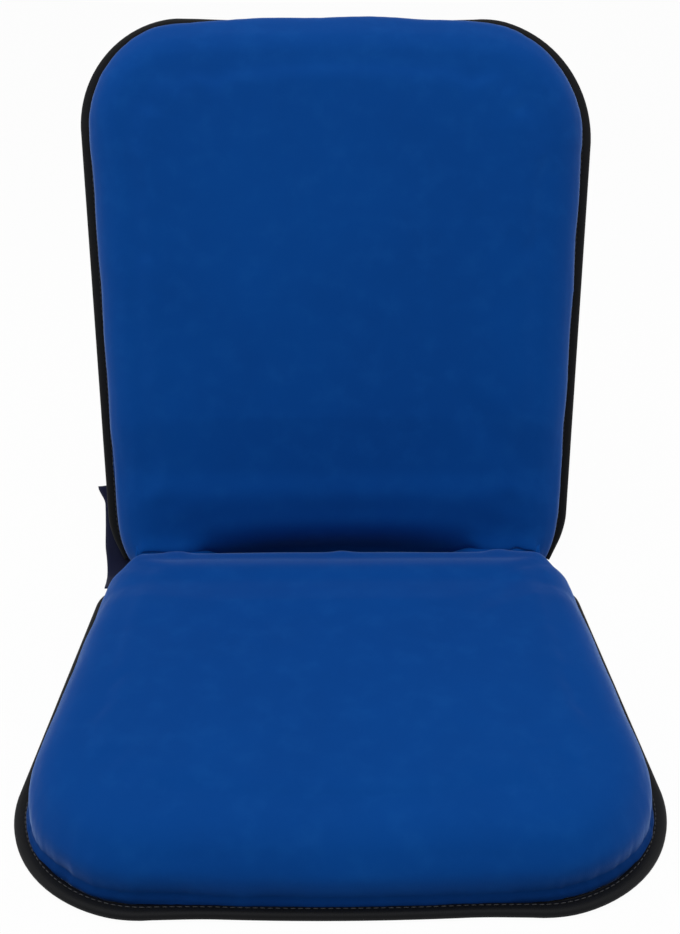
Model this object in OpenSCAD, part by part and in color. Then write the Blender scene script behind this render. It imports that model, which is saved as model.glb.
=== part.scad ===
// Folding floor chair: two padded panels on steel tube frames, joined by a pair of ratchet hinges.
// X runs across the chair, -Y is the front, +Z is up, and the seat's flat underside lies on Z = 0.
// Both panels are drawn in one flat layout: x across, u away from the hinge axis, w above the underside.

/* [Panels] */
// Widest width over the edge binding
panel_w = 440; // [400:1:500]
// Width over the binding at the hinge
waist_w = 410; // [380:1:430]
// Hinge axis to the front edge of the seat
seat_len = 380; // [340:1:460]
// Hinge axis to the top edge of the back
back_len = 462; // [420:1:560]
// Thickness of a panel at its crown
pad_rise = 54; // [50:1:65]
// Radius of the outer corners over the binding
corner_r = 105; // [80:1:130]
// Radius of the corners beside the hinge
waist_r = 22; // [16:1:28]
// How far in from its edge a pad rolls over
roll_reach = 42; // [32:1:60]
// Bow of the outer edge
edge_bow = 4; // [2:0.5:8]

/* [Angles] */
// Angle between seat and back as drawn
rest_angle = 108; // [90:18:126]
// Angle between seat and back when folded
closed_angle = 36; // [36:1:50]

/* [Cloth] */
// Thickness of the padded cover cloth
cloth_t = 1.6; // [1.2:0.1:2]
// Thickness of the underside panels
base_t = 2; // [1.5:0.1:3]
// Width of the edge binding
binding_w = 11; // [9:0.5:13]
// Thickness of the edge binding
binding_t = 6; // [4:0.5:7]
// Height that the rear hinge flap reaches up the back
flap_rise = 78; // [60:1:95]
// How far the flap's loose corner stands out past the waist
flap_out = 9; // [5:0.5:12]

/* [Frame] */
// Outside diameter of the frame tubes
tube_d = 19; // [16:0.5:22]
// Wall of every tube
tube_wall = 1.5; // [1.3:0.1:1.8]
// Outside diameter of the cross tubes
cross_d = 16; // [12:0.5:18]
// Radius of the frame's bends, at the tube's middle
bend_r = 80; // [60:1:90]
// Width of a webbing strap
strap_w = 38; // [30:1:45]
// Thickness of a webbing strap
strap_t = 2; // [1.5:0.1:2.4]
// Straps across the seat
seat_straps = 3; // [2:1:3]
// Straps across the back
back_straps = 4; // [3:1:4]

/* [Hinge] */
// Height of the hinge axis above the underside
pivot_h = 30; // [29:0.5:36]
// Radius of the hinge plates
plate_r = 16.5; // [16:0.1:18]
// Thickness of the hinge plates
plate_t = 2.5; // [2:0.1:3]
// Thickness of the ratchet arm
arm_t = 5; // [4:0.1:6]
// Thickness of the release cam
cam_t = 1.5; // [1.2:0.1:1.8]
// Tip radius of the ratchet teeth
tip_r = 15.5; // [14.5:0.1:15.6]
// Depth of the ratchet teeth
tooth_h = 3; // [2.4:0.1:3.2]
// Teeth in a full turn of the ratchet
teeth = 20; // [20:20:20]
// Diameter of the main pin
pin_d = 8; // [6:0.5:9]
// Diameter of the pawl pin and the spring post
post_d = 5; // [4:0.5:5.5]
// Diameter of the rivets through the tubes
rivet_d = 6; // [5:0.5:7]
// Turn of the cam that drops the pawl
cam_turn = 40; // [36:1:44]

/* [Hidden] */
$fn = 64;

// Clearances: running fit of a pin, play beside a moving plate, gap between cloth and what it wraps
fit = 0.05;
play = 0.3;
slack = 0.5;
overrun = 1;
// Play left between the folded pads on each side
fold_play = 0.6;

// The tubes lie over the underside panel with room for a strap below them
tube_r = tube_d / 2;
strap_gap = 0.2;
tube_w = base_t + play + strap_t + strap_gap + slack + tube_r;
tube_v = tube_w - pivot_h;
press_depth = 0.5;
side_room = 4.4;

// Places across the right-hand hinge, from the seat tube inwards. The legs fit the panel's narrower end.
seat_tube_x = min(waist_w, panel_w) / 2 - binding_w - cloth_t - side_room - tube_r;
outer_x = seat_tube_x - tube_r + press_depth;
cam_x = outer_x - plate_t - play;
arm_x = cam_x - cam_t - play;
inner_x = arm_x - arm_t - play;
inner_end_x = inner_x - plate_t;
back_tube_x = arm_x - press_depth + tube_r;

// Rivet heads
head_h = 2;
head_lip = 3;

// Panel outline: the crease end steps back beside the hinges
crease_u = 7;
hinge_room = 2.2;
notch_u = plate_r + hinge_room;
notch_run = 14;
notch_side = 4;
notch_x1 = inner_end_x - notch_side;
notch_x0 = notch_x1 - notch_run;
cover_near_x = waist_w / 2 - binding_w;
cover_far_x = panel_w / 2 - binding_w;
cover_corner_r = corner_r - binding_w;
near_shares = [0, 0.4, 0.75];
step_shares = [0, 0.5, 1];
near_xs = concat([for (s = near_shares) s * notch_x0],
    [for (s = step_shares) mid(notch_x0, notch_x1, s)], [cam_x]);
near_steps = 4;
side_shares = [0.25, 0.5, 0.75];
corner_steps = 8;
far_shares = [0.66, 0.33, 0];

// Pad section: a superellipse from the binding's height up to the crown
edge_w = 8;
roll_power = 2.5;
roll_shares = [0, 0.013, 0.064, 0.17, 0.34, 0.61, 1];
roll_share = 0.92;
inner_ring_shares = [0.6, 0.25];
// The crease end rolls over a shorter reach, and stops above the hinge arms where they pass under it
arm_roll = 18;
seat_crease_roll = 14;
back_crease_roll = 32;
fold_edge_w = 24;
arm_cover = 2.6;
arm_edge_w = pivot_h + arm_cover;
lip_h = 2;
foam_gap = 2.5;
foam_w = tube_w + tube_r + strap_gap + strap_t + play;
foam_step = 24;
foam_notch_u = notch_u + foam_step;
blend_w = 5;
cover_low_w = base_t + play;

// Hinge layout in the plane across the axis: u towards the seat's front, v up from the axis
pitch = 360 / teeth;
root_r = tip_r - tooth_h;
pawl_reach = 20.5;
pawl_angle = -75;
pawl_pin_at = polar(pawl_reach, pawl_angle);
nose_angle = -30;
boss_r = 6.2;
pawl_hub_r = 4.5;
pawl_tip_r = 3;
tip_lag = 3;
pawl_tip_at = polar(tip_r + pawl_tip_r + 2 * play, nose_angle - tip_lag);
nub_r = 1.3;
nub_out = 2.1;
nub_lead = 1.5;
nub_at = polar(root_r + nub_out, nose_angle + nub_lead);
lift_clear = 0.5;
lift_angle = 2 * asin((tooth_h + lift_clear) / (2 * norm(nub_at - pawl_pin_at)));
post_u = 33;
post_drop = 1.5;
post_at = [post_u, tube_v - post_drop];
tail_r = 8;
neck_r = 9;
neck_u = 14;
neck_drop = 8;
neck_at = [neck_u, -neck_drop];
tail_start = 45;
rivet_us = [58, 84];
tail_end = 95;
seat_tube_u = 40;
back_tube_u = 42;
hub_r = 9;

function polar(r, a) = [r * cos(a), r * sin(a)];
function turn(p, a) = [p[0] * cos(a) - p[1] * sin(a), p[0] * sin(a) + p[1] * cos(a)];
function mid(a, b, t) = a + (b - a) * t;
function ease(t) = let (c = max(0, min(1, t))) c * c * (3 - 2 * c);
function soft_min(a, b, k) = let (h = max(k - abs(a - b), 0) / k) min(a, b) - h * h * k / 4;
function reversed(list) = [for (i = [len(list) - 1:-1:0]) list[i]];
function turned_about(p, c, a) = c + turn(p - c, a);

// Outline of a panel, grown by e, from the middle of its crease end round the right side and back
function crease_line(x, e, notch) =
    crease_u - e + (notch - crease_u) * ease((abs(x) - notch_x0) / (notch_x1 - notch_x0));
function half_outline(len, e, notch) =
    let (xn = cover_near_x + e, xf = cover_far_x + e, far = len - binding_w + e,
        rn = waist_r + e, rf = cover_corner_r + e, un = notch - e + rn, uf = far - rf)
    concat(
        [for (x = near_xs) [x, crease_line(x, e, notch)]],
        [for (i = [0:near_steps]) [xn - rn, un] + polar(rn, -90 + 90 * i / near_steps)],
        [for (s = side_shares) mid([xn, un], [xf, uf], s)],
        [for (i = [0:corner_steps]) [xf - rf, uf] + polar(rf, 90 * i / corner_steps)],
        [for (s = far_shares) [s * (xf - rf), far + edge_bow * (1 - s * s)]]
    );
function mirrored(list) =
    concat(list, [for (i = [len(list) - 2:-1:1]) [-list[i][0], list[i][1]]]);
function outline(len, e, notch) = mirrored(half_outline(len, e, notch));

// Height of the crown at a place, kept low near the hinge so that the folded pads clear each other
function crown(u, drop) =
    soft_min(pad_rise, pivot_h - fold_play + u * tan(closed_angle / 2), blend_w) - drop;
// Share of the crease end's form: 1 along it and 0 from the corner on
function near_share(p) = p[1] > notch_u + waist_r ? 0
    : 1 - ease((abs(p[0]) - outer_x - plate_t) / (waist_r - 2 * plate_t));
function edge_height(p) =
    let (arms = ease((abs(p[0]) - notch_x0) / (notch_x1 - notch_x0)))
    mid(edge_w, mid(fold_edge_w, arm_edge_w, arms), near_share(p));
function rise(t) = pow(1 - pow(1 - min(1, t), roll_power), 1 / roll_power);
function rise_place(share) = 1 - pow(1 - pow(share, roll_power), 1 / roll_power);
// Where the roll ends: square in from the edge, but for the tight corners beside the hinge
function inner_targets(len, e, notch) =
    let (outer = half_outline(len, e, notch), inner = half_outline(len, e - roll_reach, notch),
        near = len(near_xs) + near_steps + 1)
    mirrored([for (i = [0:len(outer) - 1]) i < near
        ? [min(outer[i][0], cover_near_x - roll_reach), notch_u + roll_reach] : inner[i]]);
function near_roll(p, crease_roll) = mid(crease_roll, arm_roll, ease(abs(p[0]) / notch_x0));
// A ring of points at one share of the roll, which starts where the section reaches low_w
function ring(len, crease_roll, e, notch, low_w, share, drop) =
    let (edges = outline(len, e, notch), targets = inner_targets(len, e, notch))
    [for (i = [0:len(edges) - 1])
        let (p = edges[i], q = targets[i], span = roll_share * norm(q - p),
            reach = mid(span, near_roll(p, crease_roll), near_share(p)),
            edge = edge_height(p), low = (low_w - edge) / (crown(p[1], 0) - edge),
            from = low > 0 ? reach * rise_place(low) : 0,
            d = mid(from, span, share), at = p + (q - p) * d / norm(q - p))
        [at[0], at[1], mid(edge, crown(at[1], 0), rise(d / reach)) - drop]];
function middle_ring(len, outer, share, drop) =
    let (c = [0, len / 2])
    [for (p = outer) let (at = mid(c, [p[0], p[1]], share)) [at[0], at[1], crown(at[1], drop)]];
function rim(at_ring, len, notch) =
    [for (i = [0:len(at_ring) - 1]) let (p = outline(len, 0, notch)[i])
        [at_ring[i][0], at_ring[i][1],
            mid(cover_low_w, edge_height(p) - lip_h, near_share(p))]];
function roll_rings(len, crease_roll, e, notch, low_w, drop) =
    let (rolled = [for (s = roll_shares) ring(len, crease_roll, e, notch, low_w, s, drop)],
        last = rolled[len(rolled) - 1])
    concat(rolled, [for (s = inner_ring_shares) middle_ring(len, last, s, drop)]);

// Faces between rings of n points, each ring stored after the one before
function band_faces(n, a, b) =
    [for (i = [0:n - 1]) let (j = (i + 1) % n)
        each [[a + i, b + i, b + j], [a + i, b + j, a + j]]];
function cap_faces(n, a, centre) = [for (i = [0:n - 1]) [a + i, centre, a + (i + 1) % n]];
function flipped(faces) = [for (f = faces) [f[0], f[2], f[1]]];
function shifted(faces, k) = [for (f = faces) [f[0] + k, f[1] + k, f[2] + k]];
function dome_faces(n, rings) = concat(
    [for (k = [0:rings - 2]) each band_faces(n, k * n, (k + 1) * n)],
    cap_faces(n, (rings - 1) * n, rings * n));

// A closed skin: the outer dome, the inner dome and the strip between their rims
module cloth_dome(len, crease_roll) {
    outer = roll_rings(len, crease_roll, 0, notch_u, 0, 0);
    inner = roll_rings(len, crease_roll, -cloth_t, notch_u, 0, cloth_t);
    outer_all = concat([rim(outer[0], len, notch_u)], outer);
    inner_all = concat([rim(inner[0], len, notch_u)], inner);
    n = len(outer[0]);
    rings = len(outer_all);
    top = [0, len / 2, crown(len / 2, 0)];
    count = n * rings + 1;
    points = concat([for (r = outer_all) each r], [top],
        [for (r = inner_all) each r], [top - [0, 0, cloth_t]]);
    faces = concat(dome_faces(n, rings), flipped(shifted(dome_faces(n, rings), count)),
        flipped(band_faces(n, 0, count)));
    polyhedron(points, faces, convexity = 6);
}

// The foam slab: flat below where it lies on the straps, rolled above like the cover
module foam_slab(len, crease_roll) {
    tuck = cloth_t + foam_gap;
    upper = roll_rings(len, crease_roll, -tuck, foam_notch_u, foam_w + tuck + play, tuck);
    all_rings = concat([[for (p = upper[0]) [p[0], p[1], foam_w]]], upper);
    n = len(upper[0]);
    rings = len(all_rings);
    points = concat([for (r = all_rings) each r],
        [[0, len / 2, crown(len / 2, tuck)], [0, len / 2, foam_w]]);
    faces = concat(dome_faces(n, rings), flipped(cap_faces(n, 0, n * rings + 1)));
    polyhedron(points, faces, convexity = 6);
}

// The binding: a rounded band swept round the edge, from one side of the waist to the other
binding_sides = 8;
binding_tuck = 0.8;
module binding_band(len) {
    e = binding_w / 2 + play / 2;
    start_x = outer_x + head_h + slack;
    path = [for (p = outline(len, e, notch_u)) if (abs(p[0]) > start_x || p[1] > notch_u + waist_r) p];
    half_w = (binding_w - play) / 2;
    centre_w = binding_tuck + binding_t / 2;
    n = len(path);
    rings = [for (i = [0:n - 1])
        let (before = path[max(0, i - 1)], after = path[min(n - 1, i + 1)],
            d = (after - before) / norm(after - before), side = [d[1], -d[0]])
        [for (k = [0:binding_sides - 1]) let (c = polar(1, 360 * (k + 0.5) / binding_sides))
            [path[i][0] + side[0] * c[0] * half_w, path[i][1] + side[1] * c[0] * half_w,
                centre_w + c[1] * binding_t / 2]]];
    m = binding_sides;
    points = concat([for (r = rings) each r], [for (i = [0, n - 1]) [path[i][0], path[i][1], centre_w]]);
    faces = concat([for (i = [0:n - 2]) each band_faces(m, i * m, (i + 1) * m)],
        flipped(cap_faces(m, 0, n * m)), cap_faces(m, (n - 1) * m, n * m + 1));
    polyhedron(points, faces, convexity = 6);
}

module underside_panel(len)
    linear_extrude(base_t) polygon(outline(len, -play, notch_u));

// Placing: the flat layout becomes the seat when mirrored, and the back when raised about the hinge axis
hinge_y = (seat_len - crease_u) / 2;
module on_seat() translate([0, hinge_y, 0]) mirror([0, 1, 0]) children();
module on_back()
    translate([0, hinge_y, pivot_h]) rotate([180 - rest_angle, 0, 0]) translate([0, 0, -pivot_h])
        children();
module on_side(side) mirror([side < 0 ? 1 : 0, 0, 0]) children();
// A profile in the hinge plane, thickened inwards from x
module slab(x, t) translate([x - t, 0, pivot_h]) rotate([90, 0, 90]) linear_extrude(t) children();
module rod(at, x, length, r)
    translate([x - length, at[0], pivot_h + at[1]]) rotate([0, 90, 0]) cylinder(h = length, r = r);

// U-shaped tube, legs towards the hinge, with pressed flats where the hinge arms are riveted on
module u_tube(x, start, far) {
    bend_u = far - bend_r;
    module run(r) {
        for (s = [-1, 1]) {
            translate([s * x, start, tube_w]) rotate([-90, 0, 0]) cylinder(h = bend_u - start, r = r);
            translate([s * (x - bend_r), bend_u, tube_w]) rotate([0, 0, s > 0 ? 0 : 90])
                rotate_extrude(angle = 90) translate([bend_r, 0]) circle(r);
        }
        translate([-(x - bend_r), far, tube_w]) rotate([0, 90, 0]) cylinder(h = 2 * (x - bend_r), r = r);
    }
    difference() {
        run(tube_r);
        run(tube_r - tube_wall);
        for (s = [-1, 1]) translate([s * x, 0, tube_w]) {
            for (k = [-1, 1]) translate([k * tube_r, start + (tail_end - start) / 2, 0])
                cube([2 * press_depth, tail_end + slack - start, tube_d], center = true);
            for (u = rivet_us) translate([0, u, 0]) rotate([0, 90, 0])
                cylinder(h = 2 * tube_d, r = rivet_d / 2 + fit, center = true);
        }
        for (s = [-1, 1]) translate([s * x, start - overrun, tube_w]) rotate([-90, 0, 0])
            cylinder(h = 2 * overrun, r = tube_r - tube_wall);
    }
}

module cross_tube(x, u) {
    translate([0, u, tube_w]) difference() {
        rotate([0, 90, 0]) difference() {
            cylinder(h = 2 * x, r = cross_d / 2, center = true);
            cylinder(h = 2 * x + overrun, r = cross_d / 2 - tube_wall, center = true);
        }
        for (s = [-1, 1]) translate([s * x, 0, 0]) rotate([90, 0, 0])
            cylinder(h = 2 * cross_d, r = tube_r + fit, center = true);
    }
}

module webbing(x, us) {
    module loop(r) {
        for (s = [-1, 1]) translate([s * x, 0]) circle(r);
        square([2 * x, 2 * r], center = true);
    }
    for (u = us) translate([0, u + strap_w / 2, tube_w]) rotate([90, 0, 0]) linear_extrude(strap_w)
        difference() {
            loop(tube_r + strap_gap + strap_t);
            loop(tube_r + strap_gap);
        }
}
cross_u = 110;
strap_margin = 12;
function strap_places(count, far) =
    let (a = cross_u + cross_d / 2 + strap_margin + strap_w / 2, b = far - bend_r - strap_w / 2)
    [for (i = [0:count - 1]) mid(a, b, i / (count - 1))];
frame_inset = binding_w + cloth_t + side_room + tube_r;
seat_frame_far = seat_len - frame_inset;
back_frame_far = back_len - frame_inset;

// Hinge profiles
module tail_outline(end)
    hull() {
        translate([tail_start, tube_v]) circle(tail_r);
        translate([end - tail_r, tube_v]) circle(tail_r);
    }
module neck_outline()
    hull() {
        translate(neck_at) circle(neck_r);
        translate([tail_start, tube_v]) circle(tail_r);
    }
module outer_plate_profile()
    difference() {
        union() {
            circle(plate_r);
            hull() {
                circle(plate_r - 2 * play);
                translate(pawl_pin_at) circle(boss_r);
            }
            neck_outline();
            tail_outline(tail_end);
        }
        plate_holes();
        for (u = rivet_us) translate([u, tube_v]) circle(rivet_d / 2 + fit);
    }
module inner_plate_profile()
    difference() {
        union() {
            circle(plate_r);
            hull() {
                circle(plate_r - 2 * play);
                translate(pawl_pin_at) circle(boss_r);
            }
            hull() {
                translate(neck_at) circle(neck_r);
                translate(post_at) circle(boss_r);
            }
        }
        plate_holes();
    }
module plate_holes() {
    circle(pin_d / 2 + fit);
    translate(pawl_pin_at) circle(post_d / 2 + fit);
    translate(post_at) circle(post_d / 2 + fit);
}

// Ratchet wheel in the back's own plane: valleys every pitch, steep on the side that holds the back up
valley_angle = rest_angle - nose_angle;
valley_shares = [-0.08, 0.06, 0.17, 0.28];
teeth_before = floor((rest_angle - closed_angle) / pitch) + 1;
teeth_after = floor((180 - rest_angle) / pitch) + 1;
module wheel_profile()
    polygon(concat(
        [for (k = [-teeth_before:teeth_after])
            let (a = valley_angle + k * pitch)
            each [polar(root_r, a + valley_shares[0] * pitch), polar(root_r, a + valley_shares[1] * pitch),
                polar(tip_r, a + valley_shares[2] * pitch), polar(tip_r, a + valley_shares[3] * pitch)]],
        [for (a = [valley_angle + (teeth_after + 1) * pitch:pitch / 2:
            valley_angle + 360 - (teeth_before + 1) * pitch]) polar(tip_r, a)]));
module ratchet_arm_profile()
    difference() {
        union() {
            wheel_profile();
            neck_outline();
            tail_outline(tail_end);
        }
        circle(pin_d / 2 + fit);
        for (u = rivet_us) translate([u, tube_v]) circle(rivet_d / 2 + fit);
    }

// Pawl as it sits in a valley, then turned about its pin until the nose is clear of the teeth
nose_shares = [-0.55, -0.09, 0.04, 0.16];
module pawl_profile() {
    translate(pawl_pin_at) rotate(-lift_angle) translate(-pawl_pin_at) difference() {
        union() {
            difference() {
                hull() {
                    translate(pawl_pin_at) circle(pawl_hub_r);
                    translate(pawl_tip_at) circle(pawl_tip_r);
                }
                circle(tip_r + play);
            }
            polygon([polar(tip_r + tooth_h, nose_angle - nose_shares[3] * pitch),
                polar(tip_r, nose_angle - nose_shares[3] * pitch),
                polar(root_r + play, nose_angle - nose_shares[2] * pitch),
                polar(root_r + play, nose_angle - nose_shares[1] * pitch),
                polar(tip_r + play, nose_angle - nose_shares[0] * pitch),
                polar(tip_r + tooth_h, nose_angle - nose_shares[0] * pitch)]);
        }
        translate(pawl_pin_at) circle(post_d / 2 + fit);
    }
}
nub_lifted = turned_about(nub_at, pawl_pin_at, -lift_angle);

// Cam: its flank follows the nub's path, seen from the cam, as the cam turns and the pawl drops
cam_gap = 0.15;
cam_lead = 9;
cam_steps = 12;
function nub_path(t) =
    turn(turned_about(nub_at, pawl_pin_at, -lift_angle * (1 - t / cam_turn)), -t);
function cam_point(t) =
    let (d = nub_path(t + overrun) - nub_path(t - overrun))
    nub_path(t) + (nub_r + cam_gap) * [d[1], -d[0]] / norm(d);
module cam_profile()
    difference() {
        union() {
            circle(hub_r);
            polygon(concat([[0, 0], turn(cam_point(cam_turn), -cam_lead)],
                [for (i = [cam_steps:-1:0]) cam_point(cam_turn * i / cam_steps)],
                [turn(cam_point(0), cam_lead)]));
        }
        circle(pin_d / 2 + 2 * fit);
    }

// Spring: a coil round its post and a leaf that bears on the pawl's back
leaf_r = 0.6;
coil_r = post_d / 2 + fit + 2 * leaf_r;
leaf_angle = 20;
leaf_tip = turned_about(pawl_tip_at, pawl_pin_at, -lift_angle)
    + polar(pawl_tip_r + leaf_r + cam_gap, leaf_angle);
module spring_profile() {
    translate(post_at) difference() {
        circle(coil_r);
        circle(post_d / 2 + fit);
    }
    hull() {
        translate(post_at + [0, coil_r - leaf_r]) circle(leaf_r, $fn = 24);
        translate(leaf_tip) circle(leaf_r, $fn = 24);
    }
}

module riveted(at, r, from_x, to_x) {
    rod(at, to_x, to_x - from_x, r);
    rod(at, to_x + head_h, head_h, r + head_lip);
    rod(at, from_x, head_h, r + head_lip);
}

// Frames
module seat_frame_tube()
    color("dimgray") on_seat() u_tube(seat_tube_x, seat_tube_u, seat_frame_far);
module back_frame_tube()
    color("dimgray") on_back() u_tube(back_tube_x, back_tube_u, back_frame_far);
module seat_cross_tube() color("dimgray") on_seat() cross_tube(seat_tube_x, cross_u);
module back_cross_tube() color("dimgray") on_back() cross_tube(back_tube_x, cross_u);
module seat_webbing()
    color("black") on_seat() webbing(seat_tube_x, strap_places(seat_straps, seat_frame_far));
module back_webbing()
    color("black") on_back() webbing(back_tube_x, strap_places(back_straps, back_frame_far));

// Upholstery
module seat_foam() color("ivory") on_seat() foam_slab(seat_len, seat_crease_roll);
module back_foam() color("ivory") on_back() foam_slab(back_len, back_crease_roll);
module seat_cover() color("royalblue") on_seat() cloth_dome(seat_len, seat_crease_roll);
module back_cover() color("royalblue") on_back() cloth_dome(back_len, back_crease_roll);
module seat_base_panel() color("black") on_seat() underside_panel(seat_len);
module back_rear_panel() color("midnightblue") on_back() underside_panel(back_len);
module seat_binding() color("black") on_seat() binding_band(seat_len);
module back_binding() color("black") on_back() binding_band(back_len);

// Hinges
module hinge_outer_plate(side)
    color("silver") on_seat() on_side(side) slab(outer_x, plate_t) outer_plate_profile();
module hinge_inner_plate(side)
    color("silver") on_seat() on_side(side) slab(inner_x, plate_t) inner_plate_profile();
module hinge_pin(side)
    color("gray") on_seat() on_side(side) riveted([0, 0], pin_d / 2, inner_end_x, outer_x);
module pawl_pin(side)
    color("gray") on_seat() on_side(side) riveted(pawl_pin_at, post_d / 2, inner_end_x, outer_x);
module spring_post(side)
    color("gray") on_seat() on_side(side) riveted(post_at, post_d / 2, inner_end_x, outer_x);
module pawl(side)
    color("goldenrod") on_seat() on_side(side) {
        slab(arm_x, arm_t) pawl_profile();
        slab(arm_x + play + cam_t, play + cam_t) translate(nub_lifted) circle(nub_r);
    }
module release_cam(side)
    color("darkorange") on_seat() on_side(side) slab(cam_x, cam_t) cam_profile();
module pawl_spring(side)
    color("lightsteelblue") on_seat() on_side(side) slab(arm_x - play, arm_t - 2 * play) spring_profile();
module ratchet_arm(side)
    color("gray") on_back() on_side(side) slab(arm_x, arm_t) ratchet_arm_profile();

module seat_rivets()
    color("gray") on_seat() for (side = [-1, 1], u = rivet_us) on_side(side)
        riveted([u, tube_v], rivet_d / 2, outer_x - plate_t, seat_tube_x + tube_r - press_depth);
module back_rivets()
    color("gray") on_back() for (side = [-1, 1], u = rivet_us) on_side(side)
        riveted([u, tube_v], rivet_d / 2, arm_x - arm_t, back_tube_x + tube_r - press_depth);

// A strip of cloth along a path in the hinge plane
function path_normal(path, i) =
    let (a = path[max(0, i - 1)], b = path[min(len(path) - 1, i + 1)], d = (b - a) / norm(b - a))
    [-d[1], d[0]];
function edge_of(path, offset) = [for (i = [0:len(path) - 1]) path[i] + offset * path_normal(path, i)];
module strip(path, t) polygon(concat(edge_of(path, t / 2), reversed(edge_of(path, -t / 2))));
function arc_points(r, a, b) = [for (i = [0:arc_steps]) polar(r, mid(a, b, i / arc_steps))];
function on_far_side(p) = turn([p[0], -p[1]], rest_angle);
module sector(r, a, b) polygon(concat([[0, 0]], arc_points(r, a, b)));
arc_steps = 12;

// Cloth across the hinge: a deep fold between the pads, a raised band over each hinge and its side wall
fold_dip = 3;
web_t = 1.4;
bisector = rest_angle / 2;
fold_lip = [crease_u - 2 * play, fold_edge_w - lip_h / 2 - pivot_h];
band_lip = [notch_u - play - web_t / 2, arm_edge_w - lip_h / 2 - pivot_h];
band_r = plate_r + play;
band_from = 12;
module fold_profile() strip([fold_lip, polar(-fold_dip, bisector), on_far_side(fold_lip)], web_t);
module band_profile()
    strip(concat([band_lip], arc_points(band_r + web_t / 2, band_from, rest_angle - band_from),
        [on_far_side(band_lip)]), web_t);
// The side wall closes the gap from the seat's corner round to the back's
wall_low_v = binding_tuck + binding_t + slack - pivot_h;
module side_wall_profile() {
    side = [[0, wall_low_v], [band_lip[0], wall_low_v], band_lip, [0, band_lip[1]]];
    sector(band_r + web_t / 2, 0, rest_angle);
    polygon(side);
    polygon(reversed([for (p = side) on_far_side(p)]));
    sector(pivot_h - flap_t - 3 * play, rest_angle + 90, 270);
}
module crease_cloth() {
    end_x = cover_near_x - 2 * play;
    wall_x = notch_x1 + web_t;
    color("royalblue") on_seat() {
        slab(wall_x, 2 * wall_x) fold_profile();
        for (side = [-1, 1]) on_side(side) {
            slab(end_x, end_x - notch_x1) band_profile();
            slab(wall_x, web_t) polygon(concat([fold_lip],
                arc_points(band_r + web_t / 2, band_from, rest_angle - band_from), [on_far_side(fold_lip)]));
            slab(end_x, web_t) side_wall_profile();
        }
    }
}

// Flap behind the hinge, from the seat's underside up the rear of the back, slack enough to stand out
flap_t = 1.2;
flap_slack = 2;
flap_half_w = waist_w / 2 - binding_w / 2;
module rear_flap() {
    low_r = pivot_h - play - flap_t / 2;
    high_r = pivot_h + play + flap_t / 2;
    bend = [for (i = [0:arc_steps]) let (t = i / arc_steps)
        polar(mid(low_r, high_r, t) + flap_slack * sin(180 * t), mid(270, rest_angle + 90, t))];
    path = concat([[crease_u - 2 * play, -low_r]], bend, [bend[arc_steps] + polar(flap_rise, rest_angle)]);
    color("midnightblue") on_seat() slab(flap_half_w, 2 * flap_half_w + flap_out) strip(path, flap_t);
}

seat_frame_tube();
seat_cross_tube();
seat_webbing();
seat_foam();
seat_cover();
seat_base_panel();
seat_binding();
hinge_outer_plate(-1);  // hinge_outer_plate_left
hinge_outer_plate(1);  // hinge_outer_plate_right
hinge_inner_plate(-1);  // hinge_inner_plate_left
hinge_inner_plate(1);  // hinge_inner_plate_right
hinge_pin(-1);  // hinge_pin_left
hinge_pin(1);  // hinge_pin_right
pawl(-1);  // pawl_left
pawl(1);  // pawl_right
pawl_pin(-1);  // pawl_pin_left
pawl_pin(1);  // pawl_pin_right
pawl_spring(-1);  // pawl_spring_left
pawl_spring(1);  // pawl_spring_right
spring_post(-1);  // spring_post_left
spring_post(1);  // spring_post_right
release_cam(-1);  // release_cam_left
release_cam(1);  // release_cam_right
seat_rivets();
back_frame_tube();
back_cross_tube();
back_webbing();
back_foam();
back_cover();
back_rear_panel();
back_binding();
ratchet_arm(-1);  // ratchet_arm_left
ratchet_arm(1);  // ratchet_arm_right
back_rivets();
crease_cloth();
rear_flap();
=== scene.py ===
"""Looks for the folding floor chair: padded covers, bindings, hinge cloth and finishes, in metres."""
import math

import bmesh
import bpy
from mathutils import Matrix, Vector, kdtree, noise


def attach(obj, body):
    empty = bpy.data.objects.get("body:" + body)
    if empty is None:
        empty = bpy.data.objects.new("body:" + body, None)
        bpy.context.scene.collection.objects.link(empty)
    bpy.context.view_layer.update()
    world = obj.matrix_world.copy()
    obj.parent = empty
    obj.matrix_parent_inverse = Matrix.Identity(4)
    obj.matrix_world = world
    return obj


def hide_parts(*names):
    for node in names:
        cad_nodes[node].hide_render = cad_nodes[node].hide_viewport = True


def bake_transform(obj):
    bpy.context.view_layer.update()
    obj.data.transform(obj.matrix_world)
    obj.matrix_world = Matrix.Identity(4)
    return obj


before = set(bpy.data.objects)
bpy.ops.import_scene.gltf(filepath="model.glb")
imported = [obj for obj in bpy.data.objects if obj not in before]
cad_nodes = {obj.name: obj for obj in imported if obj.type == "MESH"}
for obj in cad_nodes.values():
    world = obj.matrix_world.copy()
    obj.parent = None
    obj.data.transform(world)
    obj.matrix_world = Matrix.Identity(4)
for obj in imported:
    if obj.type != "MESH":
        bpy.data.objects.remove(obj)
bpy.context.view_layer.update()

# Sizes of the chair, as in the CAD source
hinge_axis = Vector((0, 0.1865, 0.030))
rest_angle = math.radians(108)
lean = math.pi - rest_angle
seat_reach = 0.380
back_reach = 0.462
binding_width = 0.011
binding_height = 0.006
binding_seat = 0.0008
cover_near_x = 0.194
cover_far_x = 0.209
far_corner = 0.094
waist_corner = 0.022
near_edge = 0.0187
arm_from = 0.1391
edge_bow = 0.004
plate_face_x = 0.1705

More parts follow.
